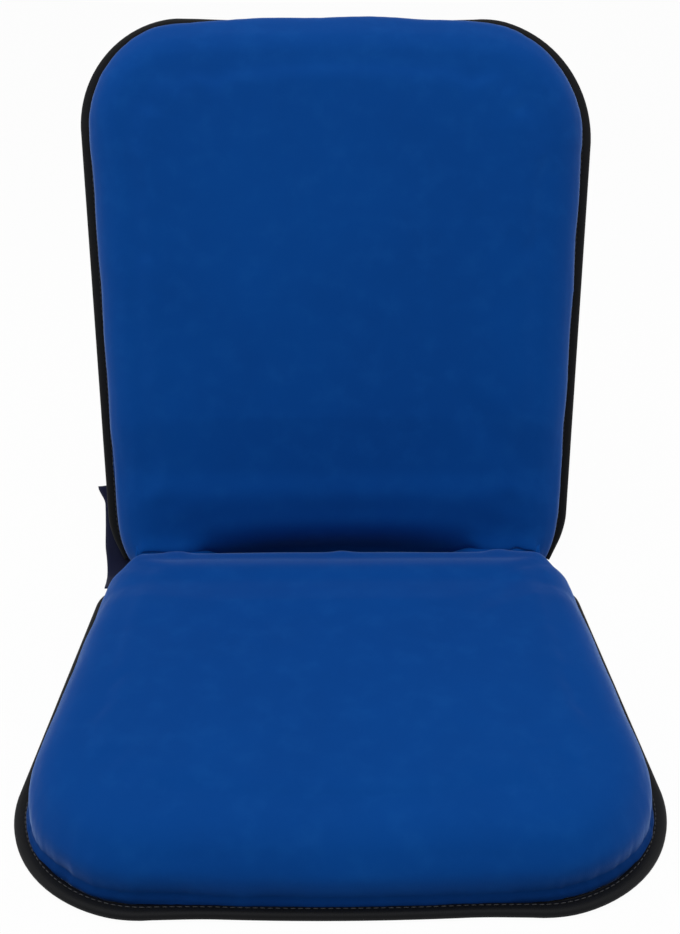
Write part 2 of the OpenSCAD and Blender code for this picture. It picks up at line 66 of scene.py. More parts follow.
# Shapes that the cloth adds to them
crease_rise = 0.009
crease_pinch_x = 0.0035
hinge_cover_x = 0.1765
hinge_wrap = 0.0179
ear_length = 0.027
cloth_thickness = 0.001
waist_drop = [(0.1855, -0.0096), (0.1885, -0.0023), (0.1935, 0.0124), (0.1960, 0.0272), (0.1967, 0.0407)]
seat_waist_out = 0.0045
back_waist_out = 0.0027
left_shoulder = 0.080
right_shoulder = 0.092
ear_corner = 0.004


# Camera

def place_camera():
    data = bpy.data.cameras.new("view")
    data.lens = 44.15
    data.sensor_width = 36
    camera = bpy.data.objects.new("view", data)
    camera.location = (-0.0058, -0.6876, 0.5569)
    camera.rotation_euler = (math.radians(63.35), 0, math.radians(-0.5))
    bpy.context.scene.collection.objects.link(camera)
    bpy.context.scene.camera = camera


place_camera()


# Places on the two panels: x across, u away from the hinge axis, w above the panel's underside

def on_seat(x, u, w):
    return Vector((x, hinge_axis.y - u, w))


def on_back(x, u, w):
    up = w - hinge_axis.z
    return Vector((x, hinge_axis.y + u * math.cos(lean) - up * math.sin(lean),
                   hinge_axis.z + u * math.sin(lean) + up * math.cos(lean)))


def ease(share):
    t = max(0.0, min(1.0, share))
    return t * t * (3 - 2 * t)


def mix(a, b, share):
    return a + (b - a) * share


def ripple(x, y=0.0, z=0.0):
    """Smooth noise from -1 to 1 that is the same in every run."""
    return noise.noise(Vector((x, y, z)))


def spline(points, share):
    """A smooth path through all the points."""
    spans = len(points) - 1
    k = min(int(share * spans), spans - 1)
    t = share * spans - k
    a, b, c, d = (points[max(0, min(spans, k + i))] for i in (-1, 0, 1, 2))
    square = (2 * a - 5 * b + 4 * c - d) * t * t
    cube = (3 * b - a - 3 * c + d) * t ** 3
    return 0.5 * (2 * b + (c - a) * t + square + cube)


def waist_out(reach):
    """How far the filled panel's waist stands out past the bare one."""
    return seat_waist_out if reach == seat_reach else back_waist_out


def half_route(reach, grow, side):
    """Corner points of one side's edge, from the waist to the middle of the far edge."""
    near_x, far_x = cover_near_x + waist_out(reach) + grow, cover_far_x + grow
    far = reach - binding_width + grow
    shoulder = right_shoulder if side > 0 else left_shoulder
    near_r, far_r = waist_corner + grow, (far_corner if reach == seat_reach else shoulder) + grow
    near_u, far_u = near_edge - grow + near_r, far - far_r
    half = []
    for i in range(13):
        if reach > seat_reach:
            at = spline([Vector(p) for p in waist_drop], i / 12)
            half.append((at.x + grow, at.y))
        else:
            a = math.radians(-90 + 90 * i / 12)
            half.append((near_x - near_r + near_r * math.cos(a), near_u + near_r * math.sin(a)))
    for i in range(25):
        a = math.radians(90 * i / 24)
        half.append((far_x - far_r + far_r * math.cos(a), far_u + far_r * math.sin(a)))
    for i in range(1, 9):
        s = 1 - i / 8
        half.append((s * (far_x - far_r), far + edge_bow * (1 - s * s)))
    return half


def edge_route(reach, grow, step):
    """Points (x, u) every step along a panel's sewn edge, from the right waist round to the left one."""
    right, left = (half_route(reach, grow, side) for side in (1, -1))
    corners = [Vector((x, u, 0)) for x, u in right + [(-x, u) for x, u in left[-2::-1]]]
    route, ahead = [corners[0]], step
    for a, b in zip(corners, corners[1:]):
        run = (b - a).length
        while ahead <= run:
            route.append(a.lerp(b, ahead / run))
            ahead += step
        ahead -= run
    return route


# Meshes

def finished(name, bm, finish, smooth=True):
    """A piece from a bmesh, at the origin, with its material."""
    bm.normal_update()
    mesh = bpy.data.meshes.new(name)
    bm.to_mesh(mesh)
    bm.free()
    piece = bpy.data.objects.new(name, mesh)
    bpy.context.scene.collection.objects.link(piece)
    mesh.materials.append(finish)
    if smooth:
        mesh.shade_smooth()
    return piece


def settled(piece):
    """Applies the piece's modifiers to its mesh."""
    bpy.context.view_layer.update()
    shaped = piece.evaluated_get(bpy.context.evaluated_depsgraph_get())
    mesh = bpy.data.meshes.new_from_object(shaped)
    old = piece.data
    piece.modifiers.clear()
    piece.data = mesh
    bpy.data.meshes.remove(old)
    mesh.shade_smooth()


def sweep(section, stations):
    """A closed section extruded from station to station: each maps a section point to its place."""
    bm = bmesh.new()
    around = bm.verts.layers.int.new("around")
    along = bm.verts.layers.float.new("along")
    bmesh.ops.create_circle(bm, segments=len(section), radius=1)
    bm.verts.ensure_lookup_table()
    for i, vert in enumerate(bm.verts):
        vert[around] = i
    ring, rim = list(bm.verts), list(bm.edges)
    first = rim
    for k, (distance, place) in enumerate(stations):
        if k:
            made = bmesh.ops.extrude_edge_only(bm, edges=rim)["geom"]
            ring = [g for g in made if isinstance(g, bmesh.types.BMVert)]
            fresh = set(ring)
            rim = [g for g in made if isinstance(g, bmesh.types.BMEdge) and set(g.verts) <= fresh]
        for vert in ring:
            vert.co = place(*section[vert[around]])
            vert[along] = distance
    bmesh.ops.holes_fill(bm, edges=first + rim, sides=0)
    bmesh.ops.recalc_face_normals(bm, faces=bm.faces)
    return bm


# Finishes

class Wire:
    """A node's output that takes sums: an expression on wires adds its Math nodes."""

    def __init__(self, finish, socket):
        self.finish = finish
        self.socket = socket

    def math(self, operation, *others):
        return self.finish.add("ShaderNodeMath", {"operation": operation}, dict(enumerate((self, *others))))

    def __add__(self, other):
        return self.math("ADD", other)

    def __mul__(self, other):
        return self.math("MULTIPLY", other)

    __radd__ = __add__
    __rmul__ = __mul__

    def __sub__(self, other):
        return self.math("SUBTRACT", other)

    def __rsub__(self, other):
        return self.finish.add("ShaderNodeMath", {"operation": "SUBTRACT"}, {0: other, 1: self})

    def wave(self, period):
        """From -1 to 1 and back over each period."""
        return (self * (2 * math.pi / period)).math("SINE")

    def between(self, low, high):
        """0 at low and below, 1 at high and above."""
        return self.finish.add("ShaderNodeMapRange", {"interpolation_type": "SMOOTHSTEP"},
                               {"Value": self, "From Min": low, "From Max": high})


class Nodes:
    """A node tree that nodes are added to."""

    def __init__(self, tree):
        self.tree = tree

    def add(self, kind, settings=None, feeds=None, out=0):
        node = self.tree.nodes.new(kind)
        for name, value in (settings or {}).items():
            setattr(node, name, value)
        for socket, value in (feeds or {}).items():
            self.feed(node.inputs[socket], value)
        return Wire(self, node.outputs[out])

    def feed(self, socket, value):
        if isinstance(value, Wire):
            self.tree.links.new(value.socket, socket)
        else:
            socket.default_value = value


class Finish(Nodes):
    """One material: its shader's flat settings, and the nodes that feed it."""

    def __init__(self, name, settings):
        self.material = bpy.data.materials.new(name)
        self.material.use_nodes = True
        super().__init__(self.material.node_tree)
        self.shader = self.tree.nodes["Principled BSDF"]
        for socket, value in settings.items():
            self.shader.inputs[socket].default_value = value

    def place(self, turn=(0, 0, 0), scale=(1, 1, 1)):
        """Object coordinates, turned about the hinge and scaled."""
        at = self.add("ShaderNodeTexCoord", out=3)
        return self.add("ShaderNodeMapping", {}, {"Vector": at, "Rotation": turn, "Scale": scale})

    def part(self, vector, axis):
        return self.add("ShaderNodeSeparateXYZ", {}, {0: vector}, out=axis)

    def cloud(self, vector, size, detail=2, roughness=0.5):
        """Noise from 0 to 1 whose blotches are about size across."""
        return self.add("ShaderNodeTexNoise", {},
                        {"Vector": vector, "Scale": 1 / size, "Detail": detail, "Roughness": roughness})

    def value(self, name):
        return self.add("ShaderNodeAttribute", {"attribute_name": name}, out=2)

    def blend(self, share, low, high):
        """A colour between two others."""
        return self.add("ShaderNodeMix", {"data_type": "RGBA"}, {0: share, 6: low, 7: high}, out=2)

    def colour(self, wire):
        self.feed(self.shader.inputs["Base Color"], wire)

    def rough(self, wire):
        self.feed(self.shader.inputs["Roughness"], wire)

    def relief(self, height, depth):
        """Raises the surface by depth, in metres, where height is 1."""
        bump = self.add("ShaderNodeBump", {}, {"Height": height, "Distance": depth, "Strength": 1.0})
        self.feed(self.shader.inputs["Normal"], bump)


def shade(r, g, b):
    """A colour from its sRGB numbers, 0 to 255."""
    lin = [c / 255 / 12.92 if c <= 10 else ((c / 255 + 0.055) / 1.055) ** 2.4 for c in (r, g, b)]
    return (*lin, 1.0)


def plain_weave(finish, at, thread, depth):
    """Over-and-under threads and their fuzz, as a height."""
    fuzz = 0.35
    across = finish.part(at, 0)
    down = finish.part(at, 1)
    weave = across.wave(thread * 2) * down.wave(thread * 2) * 0.5 + 0.5
    lint = finish.cloud(at, thread * 1.3, 3, 0.6)
    height = weave * (1 - fuzz) + lint * fuzz
    finish.relief(height, depth)
    return weave, lint


def cover_cloth(name, turn):
    """Smooth blue upholstery cloth with a soft nap, with painted shade making it a little darker in the
    seam beside the binding.
    """
    finish = Finish(name, {"Roughness": 0.85, "Sheen Weight": 0.9, "Sheen Roughness": 0.25,
                           "Sheen Tint": shade(150, 175, 220), "Specular IOR Level": 0.08})
    at = finish.place(turn)
    weave, lint = plain_weave(finish, at, 0.00045, 0.00007)
    broad = finish.cloud(at, 0.11, 3, 0.55)
    blue = finish.blend(broad, shade(0, 60, 133), shade(0, 70, 148))
    worn = finish.blend(finish.cloud(at, 0.02, 4, 0.6).between(0.45, 0.75) * 0.25, blue, shade(14, 82, 158))
    specked = finish.blend(weave * 0.12 + lint * 0.1, worn, shade(0, 48, 112))
    # Painted shade: the seam mask darkens the cloth low beside the binding, where shade falls in the
    # channel.
    seam_shade = finish.value("seam_shade")
    finish.colour(finish.blend(seam_shade * 0.55, specked, shade(4, 38, 92)))
    return finish.material


def dark_cloth(name, tint, deep, turn):
    """Plainer cloth for the flap and the undersides."""
    finish = Finish(name, {"Roughness": 0.9, "Sheen Weight": 0.15, "Sheen Roughness": 0.5,
                           "Specular IOR Level": 0.2})
    at = finish.place(turn)
    weave, lint = plain_weave(finish, at, 0.0006, 0.00009)
    broad = finish.cloud(at, 0.06, 3, 0.5)
    finish.colour(finish.blend(weave * 0.25 + lint * 0.15, finish.blend(broad, tint, deep), deep))
    return finish.material


def grip_cloth(name):
    """Black underside cloth with rows of small rubber dots."""
    finish = Finish(name, {"Roughness": 0.9, "Specular IOR Level": 0.3})
    at = finish.place()
    cells = finish.add("ShaderNodeTexVoronoi", {"feature": "F1"},
                       {"Vector": at, "Scale": 1 / 0.009, "Randomness": 0.0})
    dot = 1 - cells.between(0.18, 0.24)
    lint = finish.cloud(at, 0.0008, 3, 0.6)
    finish.relief(dot * 0.8 + lint * 0.1, 0.0006)
    finish.colour(finish.blend(dot, shade(30, 30, 33), shade(16, 16, 18)))
    finish.rough(0.92 - dot * 0.4)
    return finish.material


def tape_cloth(name):
    """Black ribbed binding tape."""
    finish = Finish(name, {"Roughness": 0.6, "Specular IOR Level": 0.12})
    along = finish.value("along")
    at = finish.place()
    ribs = along.wave(0.0011) * 0.5 + 0.5
    lint = finish.cloud(at, 0.0012, 3, 0.6)
    finish.relief(ribs * 0.6 + lint * 0.4, 0.00012)
    broad = finish.cloud(at, 0.03, 3, 0.5)
    finish.colour(finish.blend(ribs * 0.3 + broad * 0.5, shade(4, 5, 7), shade(11, 12, 15)))
    return finish.material


def thread_finish(name):
    finish = Finish(name, {"Roughness": 0.6, "Sheen Weight": 0.1})
    at = finish.place()
    twist = (finish.part(at, 0) + finish.part(at, 1) + finish.part(at, 2)).wave(0.0006) * 0.5 + 0.5
    finish.relief(twist, 0.00005)
    finish.colour(finish.blend(twist, shade(12, 13, 16), shade(38, 40, 46)))
    return finish.material


def painted_tube(name):
    """Black powder coat with its fine orange peel, rubbed where pieces meet."""
    finish = Finish(name, {"Roughness": 0.5})
    at = finish.place()
    peel = finish.cloud(at, 0.0012, 2, 0.5)
    rubbed = finish.cloud(at, 0.018, 5, 0.65).between(0.6, 0.72)
    finish.relief(peel, 0.00004)
    finish.colour(finish.blend(rubbed * 0.5, shade(26, 27, 29), shade(58, 58, 58)))
    finish.rough(0.42 + peel * 0.2)
    return finish.material


def plated_steel(name, bright, dull, grain_axis, roughness=0.34):
    """Plated or ground steel: fine grain one way, clouding and a few darker specks."""
    finish = Finish(name, {"Metallic": 1.0, "Roughness": roughness})
    scale = [1.0, 1.0, 1.0]
    scale[grain_axis] = 0.08
    at = finish.place()
    grain = finish.cloud(finish.place(scale=tuple(scale)), 0.0006, 3, 0.6)
    clouding = finish.cloud(at, 0.008, 4, 0.6)
    specks = finish.cloud(at, 0.0022, 2, 0.5).between(0.68, 0.74)
    base = finish.blend(clouding * 0.6 + grain * 0.3, bright, dull)
    finish.colour(finish.blend(specks * 0.35, base, shade(92, 88, 80)))
    finish.rough(roughness - 0.06 + grain * 0.12 + clouding * 0.08)
    finish.relief(grain, 0.00002)
    return finish.material


def open_foam(name):
    finish = Finish(name, {"Roughness": 1.0, "Specular IOR Level": 0.1})
    at = finish.place()
    cells = finish.add("ShaderNodeTexVoronoi", {"feature": "F1"}, {"Vector": at, "Scale": 1 / 0.0016})
    finish.relief(cells, 0.0005)
    finish.colour(finish.blend(cells, shade(196, 182, 140), shade(236, 226, 190)))
    return finish.material


def strap_cloth(name):
    """Elastic webbing with ribs across its length."""
    finish = Finish(name, {"Roughness": 0.8, "Sheen Weight": 0.1})
    at = finish.place()
    ribs = finish.part(at, 0).wave(0.002) * 0.5 + 0.5
    strands = finish.part(at, 1).wave(0.0024) * 0.5 + 0.5
    finish.relief(ribs * 0.6 + strands * 0.4, 0.0002)
    finish.colour(finish.blend(ribs * 0.4 + strands * 0.3, shade(20, 20, 22), shade(52, 52, 56)))
    return finish.material


back_turn = (-lean, 0, 0)
seat_blue = cover_cloth("seat_blue_cloth", (0, 0, 0))
back_blue = cover_cloth("back_blue_cloth", back_turn)
crease_blue = cover_cloth("crease_blue_cloth", (0, 0, 0))
flap_navy = dark_cloth("flap_navy_cloth", shade(14, 22, 58), shade(6, 10, 34), back_turn)
rear_navy = dark_cloth("rear_navy_cloth", shade(16, 30, 70), shade(9, 18, 50), back_turn)
grip_black = grip_cloth("underside_grip_cloth")
tape_black = tape_cloth("binding_tape")
thread_black = thread_finish("binding_thread")
tube_black = painted_tube("frame_powder_coat")
zinc = plated_steel("zinc_plated_steel", shade(196, 196, 190), shade(150, 150, 146), 1)
hardened = plated_steel("hardened_steel", shade(132, 128, 122), shade(92, 88, 84), 2, 0.42)
spring_steel = plated_steel("spring_steel", shade(172, 176, 182), shade(128, 132, 140), 0, 0.28)
foam_cream = open_foam("seat_foam_finish")
strap_black = strap_cloth("strap_webbing")


# Padded covers

def bend_at_hinge(piece):
    """Bakes the piece's place into its mesh; it bends nothing."""
    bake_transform(piece)


def outer_skin(node):
    """The outside of a cover's thin shell, closed across its open underside."""
    inside = panel_point(node)(0, 0.2, -0.05)
    bm = bmesh.new()
    bm.from_mesh(cad_nodes[node].data)
    bmesh.ops.remove_doubles(bm, verts=bm.verts, dist=1e-5)
    bm.normal_update()
    inner = [f for f in bm.faces if f.normal.dot(f.calc_center_median() - inside) < 0]
    bmesh.ops.delete(bm, geom=inner, context="FACES")
    bmesh.ops.holes_fill(bm, edges=[e for e in bm.edges if e.is_boundary], sides=0)
    bmesh.ops.triangulate(bm, faces=[f for f in bm.faces if len(f.verts) > 4])
    return bm


def panel_point(node):
    return on_seat if node.startswith("seat") else on_back


def panel_place(node, co):
    """(x, u, w) of a point on the panel that a node belongs to."""
    if node.startswith("seat"):
        return co.x, hinge_axis.y - co.y, co.z
    y, z = co.y - hinge_axis.y, co.z - hinge_axis.z
    u = y * math.cos(lean) + z * math.sin(lean)
    return co.x, u, hinge_axis.z - y * math.sin(lean) + z * math.cos(lean)


def crease_lift(node, x, u):
    """How much the filled pad stands above the bare foam's clearance line beside the hinge."""
    near = max(0.0, 1 - max(0.0, u - 0.019) / 0.058)
    if node.startswith("seat"):
        pinch = 0.004 * math.exp(-abs(x - crease_pinch_x) / 0.005) * math.exp(-max(0.0, u - 0.013) / 0.005)
        return crease_rise * near + pinch
    side = ease((abs(x) - 0.03) / 0.14)
    brow = 0.006 * ease((abs(x) - 0.1) / 0.035) * (1 - ease((u - near_edge) / 0.012))
    hollow = 0.013 * (1 - side) * (1 - ease((u - 0.006) / 0.032))
    return crease_rise * near * mix(ease((u - 0.018) / 0.022), 1, side) + brow - hollow


def crease_reach(node, x, u, w):
    """How far the filled pad runs on past the bare foam, over the hinge disc and outside it."""
    out = abs(x)
    above = ease((w - 0.036) / 0.005)
    if node.startswith("seat"):
        over = ease((out - 0.125) / 0.014) * (1 - ease((out - 0.188) / 0.008))
        return 0.0058 * over * above * (1 - ease((u - near_edge) / 0.022))
    over = ease((out - 0.085) / 0.05) * (1 - ease((out - 0.19) / 0.007))
    beside = ease((out - plate_face_x) / 0.006)
    middle = 1 - ease((out - 0.1) / 0.035)
    near = 1 - ease((u - near_edge) / 0.037)
    return max(0.0122 * over * above, ear_length * beside, 0.0085 * middle) * near


def squarer(across, along, old, new):
    """Moves a point of a round corner, measured from its centre, out to where a tighter corner has it."""
    if across <= 0 or along <= 0:
        return across, along
    way = Vector((across, along)).normalized()
    shift = old - new
    to_side = old / max(way)
    if min(way) * to_side > shift:
        ahead = (way.x + way.y) * shift
        to_side = ahead + math.sqrt(ahead * ahead - 2 * shift * shift + new * new)
    return across * to_side / old, along * to_side / old


def fuller_corners(x, u):
    """Fills the back's top corners, and its lower ones down beside the hinge."""
    centre_x, centre_u = cover_far_x - far_corner, back_reach - binding_width - far_corner
    shoulder = right_shoulder if x > 0 else left_shoulder
    across, along = squarer(abs(x) - centre_x, u - centre_u, far_corner, shoulder)
    out, u = centre_x + across, centre_u + along
    centre_x, centre_u = cover_near_x - waist_corner, near_edge + waist_corner
    across, along = squarer(out - centre_x, centre_u - u, waist_corner, ear_corner)
    return math.copysign(centre_x + across, x), centre_u - along


def ear_narrowing(x, u):
    """How far the back's edge draws in where it runs down beside the hinge."""
    down = max(0.0, waist_drop[-1][1] - u) / 0.043
    return 0.0078 * down * down * ease((abs(x) - 0.172) / 0.018)


def plump(piece, node, reach):
    """Fills the pad out at the waist, the shoulders and towards the crease."""
    for v in piece.data.vertices:
        x, u, w = panel_place(node, v.co)
        if node.startswith("back"):
            x, u = fuller_corners(x, u)
        x *= 1 + waist_out(reach) / cover_near_x * (1 - max(0.0, min(1.0, (u - 0.04) / (reach - 0.15))))
        w += crease_lift(node, x, u) * ease((w - 0.014) / 0.02)
        u -= crease_reach(node, x, u, w)
        if node.startswith("back"):
            x -= math.copysign(ear_narrowing(x, u), x)
        v.co = panel_point(node)(x, u, w)
    piece.data.update()


def swell(piece, node, start, cap):
    """Blows the pad up by cloth simulation, held along its edge, and keeps it within cap of its start."""
    held = piece.vertex_groups.new(name="held")
    for v in piece.data.vertices:
        x, u, w = panel_place(node, v.co)
        grip = max(1 - ease((w - 0.006) / 0.006), 1 - ease((u - 0.012) / 0.03))
        if grip > 0:
            held.add([v.index], grip, "REPLACE")
    cloth = piece.modifiers.new("swell", "CLOTH")
    cloth.settings.use_pressure = True
    cloth.settings.uniform_pressure_force = 4
    cloth.settings.effector_weights.gravity = 0
    cloth.settings.vertex_group_mass = "held"
    cloth.settings.tension_stiffness = 12
    cloth.settings.compression_stiffness = 12
    for step in range(1, 21):
        bpy.context.scene.frame_set(step)
    settled(piece)
    for v, (at, normal) in zip(piece.data.vertices, start):
        free = ease((panel_place(node, at)[2] - 0.014) / 0.02)
        moved = v.co - at
        out = moved.dot(normal)
        along = moved - normal * out
        v.co = at + (normal * (cap * math.tanh(out / cap) * (1 if out > 0 else 0.3)) + along * 0.3) * free
    bpy.context.scene.frame_set(1)
    piece.vertex_groups.clear()


seam_step = 0.002
# Height over the pad's underside up to which the painted seam shade is full.
seam_shade_top = 0.0075


def seam_lookup(reach):
    """The sewn edge of a panel, and a tree that finds its nearest point."""
    route = edge_route(reach, 0, seam_step)
    tree = kdtree.KDTree(len(route))
    for i, p in enumerate(route):
        tree.insert(p, i)
    tree.balance()
    return tree, route


def nearest_on_seam(tree, route, here):
    """The place on the sewn edge nearest to a point, its number and how far along the edge it is."""
    at, index, _ = tree.find(here)
    way = (route[min(index + 1, len(route) - 1)] - route[max(index - 1, 0)]).normalized()
    past = max(-seam_step, min(seam_step, (here - at).dot(way)))
    return at + way * past, index, index * seam_step + past


def puckers(run, past_corner, off, distance, seed):
    """Short puckers beside the seam, strongest at the corners, and longer gathers further in."""
    corner = 0.5 + 0.8 * math.exp(-(past_corner / 0.09) ** 2)
    short = ripple(run / 0.013, seed) * 0.6 + ripple(run / 0.006, seed + 5) * 0.4
    gather = ripple(run / 0.045, distance / 0.06, seed + 9)
    return short * corner * 0.0016 * math.exp(-off / 0.016) + gather * 0.0022 * math.exp(-off / 0.034)


def slack(x, u, seed):
    """Broad waves of loose cloth over the filled pad."""
    return ripple(x / 0.16, u / 0.16, seed + 3) * 0.0016 + ripple(x / 0.07, u / 0.07, seed + 4) * 0.0005


def tuck_edges(piece, node, reach, seed):
    """Draws the cloth down to the binding all round, puckered beside it, and over it at the back's top."""
    tree, route = seam_lookup(reach)
    last = len(route) - 1
    corner_run = 0.37 if reach == seat_reach else 0.43
    place = panel_point(node)
    mesh = piece.data
    # The mask of painted shade beside the binding, stored for the cover cloth.
    seam_shade = mesh.attributes.new("seam_shade", "FLOAT", "POINT")
    depth = [0.0] * len(mesh.vertices)
    normals = [v.normal.copy() for v in mesh.vertices]
    for v, normal in zip(mesh.vertices, normals):
        x, u, w = panel_place(node, v.co)
        here = Vector((x, u, 0))
        at, index, run = nearest_on_seam(tree, route, here)
        distance = (here - at).length
        open_end = min(index, last - index) * seam_step
        ends = ease((open_end + 0.004) / 0.03)
        past_corner = min(run, (last + 1) * seam_step - run) - corner_run
        move = puckers(run, past_corner, max(distance, w - 0.006), distance, seed) * ends
        if reach == seat_reach:
            under = 0.0045 * ease((u - reach + 0.06) / 0.03) * (1 - ease((w - 0.004) / 0.026))
            v.co += Vector((0, under, 0))
        v.co += normal * (move + slack(x, u, seed) * ease((w - 0.015) / 0.02))
        # Painted shade: full near the pad's underside by the binding, fading out a few millimetres higher.
        depth[v.index] = math.exp(-max(0.0, w - seam_shade_top) / 0.0035) * ends
        into = place(at.x, at.y, w) - place(x, u, w)
        outward = (place(at.x, at.y, 0) - place(0, reach / 2, 0)).normalized()
        low = 1 - ease((w - 0.0065) / 0.002)
        if into.dot(outward) > 0 or low == 1:
            wall = 1 - ease((w - 0.012) / 0.028)
            beside = 1 - ease((distance - 0.006) / 0.009)
            v.co += (into * wall + outward * 0.003 * low) * ease((open_end + 0.02) / 0.03) * beside
        if reach == back_reach:
            top = ease((u - reach + 0.08) / 0.045) * (1 - ease((abs(x) - 0.13) / 0.07))
            over = ease((w - 0.0072) / 0.003) * (1 - ease((w - 0.02) / 0.025))
            v.co += outward * 0.0042 * top * over
    seam_shade.data.foreach_set("value", depth)
    mesh.update()


def padded_cover(node, foam, body, reach, finish, seed):
    """A filled pad in the cover's place, over the foam."""
    bm = outer_skin(node)
    piece = finished(body + "_pad", bm, finish)
    fine = piece.modifiers.new("even", "REMESH")
    fine.mode = "VOXEL"
    fine.voxel_size = 0.0045
    settled(piece)
    plump(piece, node, reach)
    start = [(v.co.copy(), v.normal.copy()) for v in piece.data.vertices]
    for v, (at, normal) in zip(piece.data.vertices, start):
        x, u, w = panel_place(node, at)
        v.co = at - normal * 0.003 * ease((w - 0.012) / 0.02) * ease((u - 0.02) / 0.03)
    swell(piece, node, start, 0.0025)
    piece.modifiers.new("soft", "SMOOTH").iterations = 4
    round_off = piece.modifiers.new("round", "SUBSURF")
    round_off.levels = round_off.render_levels = 1
    settled(piece)
    piece.data.materials.clear()
    piece.data.materials.append(finish)
    tuck_edges(piece, node, reach, seed)
    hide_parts(node, foam)
    bend_at_hinge(piece)


padded_cover("seat_cover", "seat_foam", "seat", seat_reach, seat_blue, 1.7)
padded_cover("back_cover", "back_foam", "back", back_reach, back_blue, 6.3)


# Bindings: folded tape round each panel, sewn with one row of stitches

def tape_section(count):
    """Across the tape from -1 to 1 and its height from 0 to 1: a flat fold, thicker at the outer edge."""
    section = []
    for i in range(count):
        a = 2 * math.pi * (i + 0.5) / count
        c, s = math.cos(a), math.sin(a)
        across = math.copysign(abs(c) ** 0.75, c)
        height = 0.5 + 0.5 * math.copysign(abs(s) ** 0.7, s)
        section.append((across, height))
    return section


def tape_frames(reach, grow, step):
    """Stations along the tape: distance, place, the way it runs and the way outwards."""
    route = edge_route(reach, grow, step)
    frames = []
    for i, p in enumerate(route):
        before, after = route[max(0, i - 1)], route[min(len(route) - 1, i + 1)]
        run = (after - before).normalized()
        frames.append((i * step, p, run, Vector((run.y, -run.x, 0))))
    return frames


stitch_pitch = 0.0046
stitch_across = -0.42
stitch_seat = binding_seat + binding_height * 0.86
stitch_size = Matrix.Diagonal((0.0017, 0.00035, 0.0003, 1))


def far_end(p, reach):
    """1 along the straight far edge of a panel, 0 from its corners on."""
    return ease((p.y - reach + 0.03) / 0.02) * (1 - ease((abs(p.x) - 0.075) / 0.07))


def far_fold(across, reach):
    """The tape folds further round the far edge than round the sides."""
    return -1.5 + 0.85 * (across + 1) if reach == seat_reach else -1 + 0.6 * (across + 1)


def binding(body, node, place, reach, seed):
    """The tape, drawn in at each stitch and a little wavy along its inner edge."""
    grow = binding_width / 2 + 0.00015
    half = binding_width / 2 - 0.00015

    def station(distance, p, side):
        wave = ripple(distance / 0.035, seed) * 0.0007 + ripple(distance / 0.012, seed + 2) * 0.0003
        drawn = 0.5 + 0.5 * math.cos(2 * math.pi * distance / stitch_pitch)
        far = far_end(p, reach)
        slim = 1 - 0.3 * (reach == back_reach) * (1 - ease((p.y + 0.012) / 0.045))

        def put(across, height):
            inner = max(0.0, -across)
            c = (mix(across, far_fold(across, reach), far) + 1) * slim - 1
            c = c * half + wave * inner * 0.8
            groove = math.exp(-((across - stitch_across) / 0.22) ** 2)
            top = 1 - 0.16 * inner - groove * (0.1 + 0.1 * drawn)
            w = binding_seat + binding_height * height * top + wave * 0.3 * height
            at = p + side * c
            return place(at.x, at.y, w)
        return put

    frames = tape_frames(reach, grow, stitch_pitch / 2)
    bm = sweep(tape_section(16), [(d, station(d, p, side)) for d, p, _, side in frames])
    piece = finished(body + "_binding_tape", bm, tape_black)
    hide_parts(node)
    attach(piece, body)

    bm = bmesh.new()
    for _, p, run, side in tape_frames(reach, grow, stitch_pitch):
        at = p + side * (mix(stitch_across, far_fold(stitch_across, reach), far_end(p, reach)) * half)
        here = place(at.x, at.y, stitch_seat)
        ahead = place(at.x + run.x, at.y + run.y, stitch_seat) - here
        over = place(at.x, at.y, stitch_seat + 1) - here
        axes = Matrix((ahead, over.cross(ahead), over)).transposed().to_4x4()
        lie = Matrix.Translation(here) @ axes @ stitch_size @ Matrix.Rotation(math.pi / 2, 4, "Y")
        bmesh.ops.create_uvsphere(bm, u_segments=6, v_segments=4, radius=1, matrix=lie)
    stitches = finished(body + "_binding_stitches", bm, thread_black)
    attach(stitches, body)


binding("seat", "seat_binding", on_seat, seat_reach, 2.2)
binding("back", "back_binding", on_back, back_reach, 8.4)


# Cloth over the hinge line

def sheet_grid(columns, rows, place):
    """A grid of cloth, each point put where place(across share, down share) says."""
    bm = bmesh.new()
    bmesh.ops.create_grid(bm, x_segments=columns, y_segments=rows, size=0.5)
    for vert in bm.verts:
        vert.co = place(vert.co.x + 0.5, vert.co.y + 0.5)
    return bm


def cloth_area(bm):
    return sum(f.calc_area() for f in bm.faces)


def thicken(sheet):
    """Gives a sheet of cloth its thickness, half on each side."""
    thick = sheet.modifiers.new("cloth", "SOLIDIFY")
    thick.thickness = cloth_thickness
    thick.offset = 0
    settled(sheet)


def off_axis(u, v):
    return Vector((u, v))


def off_axis_back(u, up):
    """The same plane, measured along the back."""
    return Vector((u * math.cos(rest_angle) + up * math.sin(rest_angle),
                   u * math.sin(rest_angle) - up * math.cos(rest_angle)))


deep_fold = [off_axis(0.0125, 0.001), off_axis(0.0095, -0.005), off_axis(0.0055, -0.013),
             off_axis(0.001, -0.021), off_axis(-0.012, -0.021), off_axis(-0.0205, -0.0125),
             off_axis(-0.0215, -0.003), off_axis_back(0.012, -0.014)]
hinge_fold = [hinge_wrap * Vector((math.cos(math.radians(12 * i)), math.sin(math.radians(12 * i))))
              for i in range(1, 9)]


def crease_place(across, down):
    """A deep fold between the pads in the middle, and cloth drawn over the hinge arms at each side."""
    x = mix(-hinge_cover_x, hinge_cover_x, across)
    arm = ease((abs(x) - 0.06) / (arm_from - 0.06))
    u, v = spline([mix(a, b, arm) for a, b in zip(deep_fold, hinge_fold)], down)
    ripples = math.sin(math.pi * down) * (1 - 0.7 * arm)
    u += ripple(x / 0.035, down * 2, 4.4) * 0.0012 * ripples
    v += ripple(x / 0.03, down * 2, 7.9) * 0.0012 * ripples
    return Vector((x, hinge_axis.y - u, hinge_axis.z + v))


